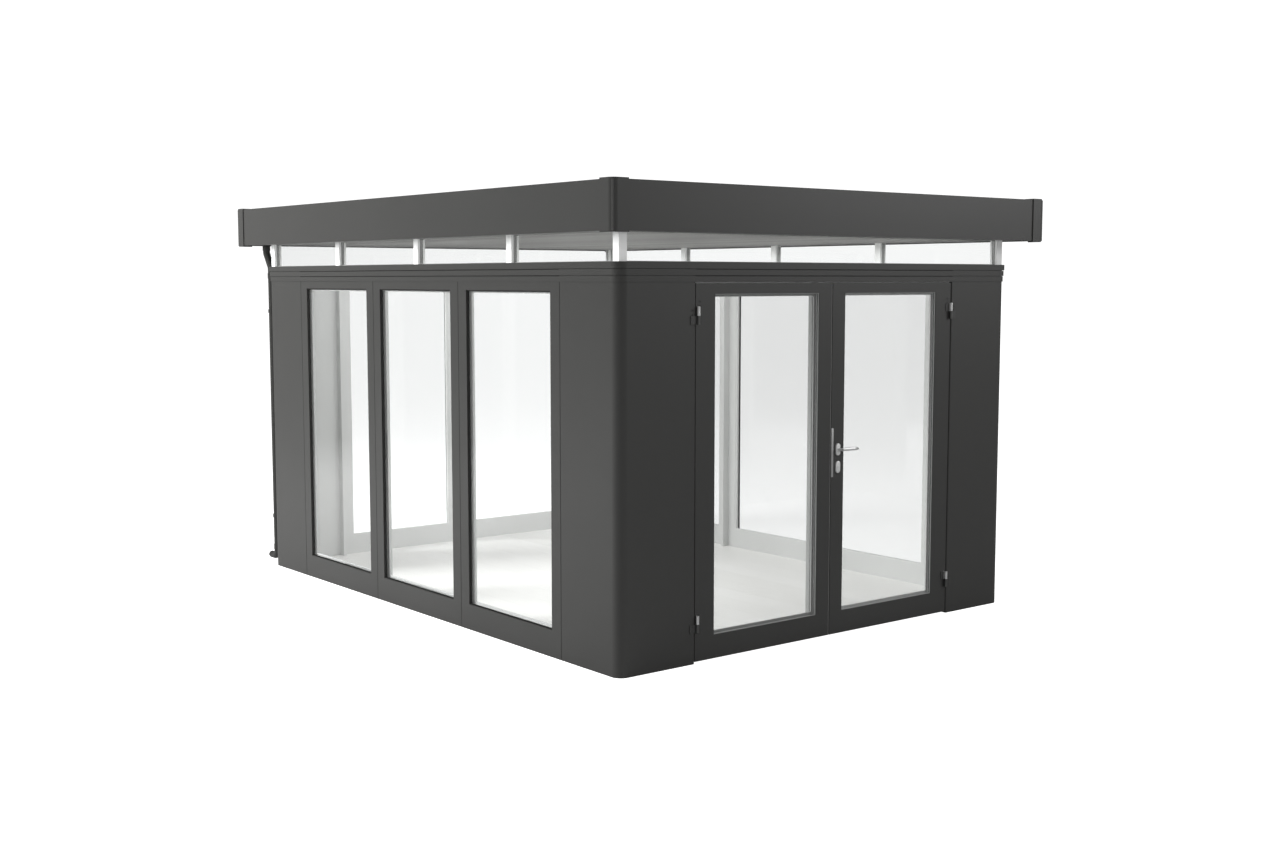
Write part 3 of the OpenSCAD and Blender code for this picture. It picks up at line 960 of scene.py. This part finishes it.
def coping(name, half):
    """A coping strip in a wall's own directions, from -half to half."""
    out, top = -overhang, fascia_high.z
    piece = cube(name, (-half, out, top), (half, out + COPING_W, top + COPING_T))
    edit(piece)
    bpy.ops.mesh.select_all(action="SELECT")
    fold = out + COPING_W - COPING_T
    bpy.ops.mesh.bisect(plane_co=(0, fold, 0), plane_no=(0, 1, 0))
    pick(piece, "FACE", lambda f: flat_at(f, "Z", top) and f.calc_center_median().y > fold)
    extrude(0, 0, -COPING_LEG)
    done()
    face = top + COPING_T
    round_over(piece, lambda e: along(e, "X") and flat_at(e, "Z", face), COPING_SOFT, segments=2)
    return piece


for first, second in (("front", "rear"), ("left", "right")):
    across = HALF_W if first == "front" else HALF_D
    strip = coping("strip", across + overhang - CAP_LEG)
    for side in (first, second):
        cover = copy(strip, f"coping_{side}", on_wall(side))
        finish(cover, "building", roof_coat)
    drop(strip)

# %% [markdown]
# ## Clerestory beads
#
# The low panes under the roof stand between the posts in slim rubber beads, outside and inside.
# Each pair of rings follows one pane, and the rings of one wall are joined.

# %% Clerestory beads
SLIM_W, SLIM_T, SLIM_SOFT = 3.5 * MM, 5 * MM, 2 * MM
post_low, post_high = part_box("clerestory_posts_left")
POST_W = post_high.x - post_low.x
QUARTER = HALF_D / 2
POST_MIDDLES = [
    post_low.y + POST_W / 2, -QUARTER, 0.0, QUARTER, post_high.y - POST_W / 2
]
strip_low, strip_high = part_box("clerestory_glass_front")
slim_out = strip_low.y + HALF_D
slim_in = strip_high.y + HALF_D


def slim_rings(side, panes):
    """Outer and inner beads round panes given by where they start and end along a wall."""
    made = []
    for start, end in panes:
        made.append(ring(
            "slim", (start, slim_out - SLIM_T, strip_low.z), (end, slim_out, strip_high.z),
            SLIM_W, slim_out - SLIM_T, SLIM_SOFT,
        ))
        made.append(ring(
            "slim", (start, slim_in, strip_low.z), (end, slim_in + SLIM_T, strip_high.z),
            SLIM_W, slim_in + SLIM_T, SLIM_SOFT,
        ))
    whole = join(*made)
    twin = copy(whole, f"clerestory_beads_{side}", on_wall(side))
    drop(whole)
    return finish(twin, "building", lip_rubber)


gaps = list(zip(POST_MIDDLES, POST_MIDDLES[1:]))
side_panes = [(a + POST_W / 2, b - POST_W / 2) for a, b in gaps]
end_panes = [(strip_low.x, strip_high.x)]
for side in ("front", "rear"):
    slim_rings(side, end_panes)
for side in ("left", "right"):
    slim_rings(side, side_panes)

# %% [markdown]
# ## Screws
#
# One pan-head screw serves the hinge plates and the pipe clips: a short rod with its rim
# rounded, and a round recess inset in its face and pushed in for the driver.

# %% A screw
HEAD_R, HEAD_T = 4 * MM, 1.6 * MM
RIM_SHARE, RECESS_SHARE, RECESS_DEPTH_SHARE = 0.6, 0.3, 0.6


def screw(name, radius, thickness):
    """A pan-head screw at the origin that faces -Y."""
    piece = rod(name, (0, -thickness / 2, 0), "Y", radius, thickness, sides=20)
    round_over(piece, lambda e: flat_at(e, "Y", -thickness), thickness * RIM_SHARE)
    edit(piece)
    pick(piece, "FACE", lambda f: flat_at(f, "Y", -thickness))
    bpy.ops.mesh.inset(thickness=radius * RECESS_SHARE, depth=0)
    extrude(0, thickness * RECESS_DEPTH_SHARE, 0)
    done()
    return piece


def screws(name, head, places, body, material, turn=0.0):
    """Copies of a screw at several places, joined to one piece."""
    spin = Matrix.Rotation(turn, 4, "Z")
    made = [copy(head, name, Matrix.Translation(place) @ spin) for place in places]
    whole = join(*made) if len(made) > 1 else made[0]
    whole.name = whole.data.name = name
    return finish(whole, body, material)


head = screw("head", HEAD_R, HEAD_T)
print("a screw has", len(head.data.polygons), "faces")

# %% [markdown]
# ## Hinge caps and screws
#
# A rounded cap closes each end of a hinge: on top of the leaf's knuckle and below the wall's
# knuckle. The caps on the leaves are bare steel and those on the wall are coated. Two coated
# screws hold each plate. What sits on a leaf rides on that leaf.

# %% Hinge caps and screws
CAP_H, CAP_SOFT = 4 * MM, 3 * MM
hinge_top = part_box("hinge_leaf_parts_left")[1].z
KNUCKLE_H = 45 * MM
axis_y = wall_part_low.y + KNUCKLE_R
upper_joint = wall_part_high.z
lower_joint = wall_part_low.z + KNUCKLE_H
joints = (lower_joint, upper_joint)


def cap(name, x, z, up):
    """A rounded cap on the end of a knuckle."""
    piece = rod(name, (x, axis_y, z + up * CAP_H / 2), "Z", KNUCKLE_R, CAP_H)
    round_over(piece, lambda e: flat_at(e, "Z", z + up * CAP_H), CAP_SOFT, segments=4)
    return piece


below = [cap("cap", s * axis_x, z - KNUCKLE_H, -1) for s in (-1, 1) for z in joints]
wall_caps = join(*below)
wall_caps.name = "hinge_caps_wall"
finish(wall_caps, "building", roof_coat)
top_of_leaf_knuckle = hinge_top - upper_joint
for hand, s in (("left", -1), ("right", 1)):
    above = join(*[cap("cap", s * axis_x, z + top_of_leaf_knuckle, 1) for z in joints])
    above.name = f"hinge_caps_{hand}"
    finish(above, f"{hand}_door", steel)

SCREW_RISES = (11 * MM, 34 * MM)
WALL_PLATE_MID, LEAF_PLATE_MID, WALL_PLATE_T = 32 * MM, -22 * MM, 4 * MM
WALL_PLATE_FACE, LEAF_PLATE_FACE = -HALF_D - WALL_PLATE_T, -HALF_D
places = [
    (s * (axis_x + WALL_PLATE_MID), WALL_PLATE_FACE, z - rise)
    for s in (-1, 1) for z in joints for rise in SCREW_RISES
]
screws("hinge_screws_wall", head, places, "building", roof_coat)
for hand, s in (("left", -1), ("right", 1)):
    places = [
        (s * (axis_x + LEAF_PLATE_MID), LEAF_PLATE_FACE, z + rise)
        for z in joints for rise in SCREW_RISES
    ]
    screws(f"hinge_screws_{hand}", head, places, f"{hand}_door", roof_coat)

# %% [markdown]
# ## Lever handles
#
# A lever is cast in one piece: a round neck comes out of the rose, turns along the door, and
# flattens into a grip with a rounded tip. The neck is a rod, its end face is spun round the
# elbow, and the grip is that face extruded and scaled step by step. The inside lever is the same
# casting turned over. A square spindle joins them through the lock.

# %% Lever handles
lever_low, lever_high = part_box("door_lever")
leaf_low, leaf_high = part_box("door_leaf_right")
NECK_R, ELBOW_R, GRIP_HALF_T, GRIP_HALF_H = 8 * MM, 15 * MM, 7 * MM, 10 * MM
lever_x = lever_low.x + NECK_R
lever_z = (lever_low.z + lever_high.z) / 2
grip_y = lever_low.y + GRIP_HALF_T
elbow_y = grip_y + ELBOW_R
NECK_OFF_LEAF = 1 * MM
neck_start = leaf_low.y - NECK_OFF_LEAF
SPIN_STEPS = 8


def lever(name):
    """The outside lever, from its rose to the tip of its grip."""
    middle = (neck_start + elbow_y) / 2
    length = neck_start - elbow_y
    piece = rod(name, (lever_x, middle, lever_z), "Y", NECK_R, length, sides=24)
    edit(piece)
    pick(piece, "FACE", lambda f: flat_at(f, "Y", elbow_y))
    start, tip = lever_x + ELBOW_R, lever_high.x
    centre = (start, elbow_y, lever_z)
    bpy.ops.mesh.spin(steps=SPIN_STEPS, angle=math.pi / 2, center=centre, axis=(0, 0, 1))
    # Each step: where the section moves on to, and its half thickness and half height there.
    thick, high = NECK_R, NECK_R
    steps = [
        (start + 14 * MM, 7.4 * MM, 9.2 * MM),
        (start + 30 * MM, GRIP_HALF_T, GRIP_HALF_H),
        (tip - 22 * MM, 6.2 * MM, GRIP_HALF_H),
        (tip - 8 * MM, 6 * MM, 9.6 * MM),
        (tip - 3 * MM, 5 * MM, 8.4 * MM),
        (tip - 0.8 * MM, 3.2 * MM, 6 * MM),
        (tip, 1.2 * MM, 2.4 * MM),
    ]
    x = start
    for next_x, half_t, half_h in steps:
        extrude(next_x - x, 0, 0)
        bpy.ops.transform.resize(
            value=(1, half_t / thick, half_h / high), center_override=(next_x, grip_y, lever_z)
        )
        x, thick, high = next_x, half_t, half_h
    bpy.ops.mesh.select_all(action="SELECT")
    bpy.ops.mesh.remove_doubles(threshold=0.01 * MM)
    bpy.ops.mesh.normals_make_consistent(inside=False)
    done()
    return piece


outer_lever = lever("lever_outside")
leaf_mid_y = (leaf_low.y + leaf_high.y) / 2
to_axis = Matrix.Translation((0, leaf_mid_y, lever_z))
turn_over = to_axis @ Matrix.Rotation(math.pi, 4, "X") @ to_axis.inverted()
inner_lever = copy(outer_lever, "lever_inside", turn_over)
SPINDLE_HALF, SPINDLE_OUT, SPINDLE_SOFT = 4 * MM, 2 * MM, 0.8 * MM
spindle = cube(
    "lever_spindle",
    (lever_x - SPINDLE_HALF, leaf_low.y - SPINDLE_OUT, lever_z - SPINDLE_HALF),
    (lever_x + SPINDLE_HALF, leaf_high.y + SPINDLE_OUT, lever_z + SPINDLE_HALF),
)
round_over(spindle, lambda e: along(e, "Y"), SPINDLE_SOFT, segments=2)
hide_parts("door_lever")
for piece in (outer_lever, inner_lever, spindle):
    finish(piece, "lever", steel)

# %% [markdown]
# ## Roses, key cylinder and meeting strip
#
# A rose is a pressed oval shell over the lock's fixings: a block with its upright edges rounded
# right to the middle and its rim softened. The key rose shows the nose of the lock cylinder with
# its keyway, an inset face squeezed to a slot and pushed in. The strip guards the meeting edge.

# %% Roses, key cylinder and meeting strip
ROSE_W, ROSE_H, ROSE_T, ROSE_SOFT = 34 * MM, 68 * MM, 8 * MM, 2.4 * MM
# A full half width would close the rounded ends on themselves.
ROSE_ROUND = 0.995 * ROSE_W / 2
KEY_DOWN = 99 * MM
NOSE_R, NOSE_OUT, NOSE_LENGTH, NOSE_SOFT = 8 * MM, 1.5 * MM, 4 * MM, 0.8 * MM
KEYWAY_INSET, KEYWAY_SQUEEZE, KEYWAY_DEPTH = 2.5 * MM, 0.2, 3 * MM
STRIP_W, STRIP_T, STRIP_UP, STRIP_DOWN = 16 * MM, 2 * MM, 121 * MM, 154 * MM
STRIP_SOFT = 0.9 * MM


def rose(name, z, face, out):
    """An oval rose on a face of the leaf, standing out towards out, -1 or 1."""
    low_y, high_y = sorted((face, face + out * ROSE_T))
    piece = cube(
        name,
        (lever_x - ROSE_W / 2, low_y, z - ROSE_H / 2),
        (lever_x + ROSE_W / 2, high_y, z + ROSE_H / 2),
    )
    round_over(piece, lambda e: along(e, "Y"), ROSE_ROUND, segments=12)
    round_over(piece, lambda e: flat_at(e, "Y", face + out * ROSE_T), ROSE_SOFT, segments=4)
    return piece


def key_nose(name, z, face, out):
    """The lock cylinder's end, just proud of its rose, with a keyway."""
    front = face + out * (ROSE_T + NOSE_OUT)
    centre = (lever_x, front - out * NOSE_LENGTH / 2, z)
    piece = rod(name, centre, "Y", NOSE_R, NOSE_LENGTH)
    round_over(piece, lambda e: flat_at(e, "Y", front), NOSE_SOFT, segments=2)
    edit(piece)
    pick(piece, "FACE", lambda f: flat_at(f, "Y", front) and len(f.verts) > 8)
    bpy.ops.mesh.inset(thickness=KEYWAY_INSET, depth=0)
    squeeze = (KEYWAY_SQUEEZE, 1, 1)
    bpy.ops.transform.resize(value=squeeze, center_override=(lever_x, front, z))
    extrude(0, -out * KEYWAY_DEPTH, 0)
    done()
    return piece


parts = []
for face, out in ((leaf_low.y, -1), (leaf_high.y, 1)):
    parts += [rose("rose", lever_z, face, out), rose("rose", lever_z - KEY_DOWN, face, out)]
    parts += [key_nose("nose", lever_z - KEY_DOWN, face, out)]
strip = cube(
    "strip",
    (leaf_low.x, leaf_low.y - STRIP_T, lever_z - STRIP_DOWN),
    (leaf_low.x + STRIP_W, leaf_low.y, lever_z + STRIP_UP),
)
round_over(strip, lambda e: flat_at(e, "Y", leaf_low.y - STRIP_T), STRIP_SOFT, segments=2)
strip.name = strip.data.name = "meeting_strip"
finish(strip, "right_door", dull_aluminium)
fittings = join(*parts)
fittings.name = fittings.data.name = "door_fittings"
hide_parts("handle_plates")
finish(fittings, "right_door", steel)

# %% [markdown]
# ## Downpipe sockets and clip screws
#
# The pipe is plugged together from lengths and bends, and each joint has a slightly wider socket.
# A socket is a rod without its ends, given a wall by Solidify and a soft rim by a bevel. Each
# clip's foot is held to the wall by a screw.

# %% Downpipe sockets and clip screws
pipe_low, pipe_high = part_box("downpipe")
clip_low, clip_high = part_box("downpipe_clips")
PIPE_R, SOCKET_H, SOCKET_T, SOCKET_SOFT = 24 * MM, 38 * MM, 2.4 * MM, 0.7 * MM
PIPE_OFF_WALL, OUTLET_OFF_WALL = 40 * MM, 112 * MM
UPPER_SOCKET_Z, LOWER_SOCKET_Z = 2.020, 0.100
pipe_x = pipe_low.x + PIPE_R
pipe_y = HALF_D + PIPE_OFF_WALL
outlet_y = HALF_D + OUTLET_OFF_WALL


def socket(name, y, z):
    """A short sleeve round the pipe with its lower end at z."""
    centre = (pipe_x, y, z + SOCKET_H / 2)
    piece = rod(name, centre, "Z", PIPE_R + SOCKET_T, SOCKET_H, sides=40)
    edit(piece)
    pick(piece, "FACE", lambda f: abs(f.normal.z) > 0.9)
    bpy.ops.mesh.delete(type="FACE")
    done()
    select_only(piece)
    wall = piece.modifiers.new("wall", "SOLIDIFY")
    wall.thickness = SOCKET_T
    wall.offset = -1
    bpy.ops.object.modifier_apply(modifier="wall")
    rim = piece.modifiers.new("rim", "BEVEL")
    rim.width = SOCKET_SOFT
    rim.segments = 2
    rim.limit_method = "ANGLE"
    bpy.ops.object.modifier_apply(modifier="rim")
    return piece


sockets = join(
    socket("socket", outlet_y, pipe_high.z - SOCKET_H),
    socket("socket", pipe_y, UPPER_SOCKET_Z),
    socket("socket", pipe_y, LOWER_SOCKET_Z),
)
sockets.name = sockets.data.name = "downpipe_sockets"
finish(sockets, "building", pipe_coat)

CLIP_FOOT_T, CLIP_SCREW_OUT, CLIP_W = 4 * MM, 31 * MM, 24 * MM
clip_places = [
    (pipe_x + CLIP_SCREW_OUT, HALF_D + CLIP_FOOT_T, z)
    for z in (clip_low.z + CLIP_W / 2, clip_high.z - CLIP_W / 2)
]
screws("clip_screws", head, clip_places, "building", steel, math.pi)
drop(head)

# %% [markdown]
# ## Sizes
#
# The looks must not outgrow the frame, so both boxes are written down and compared.

# %% Sizes
low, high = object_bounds()
growth = [round((a - b) / MM, 1) for a, b in zip((*cad_low, *high), (*low, *cad_high))]
print("grown by:", growth, "mm")
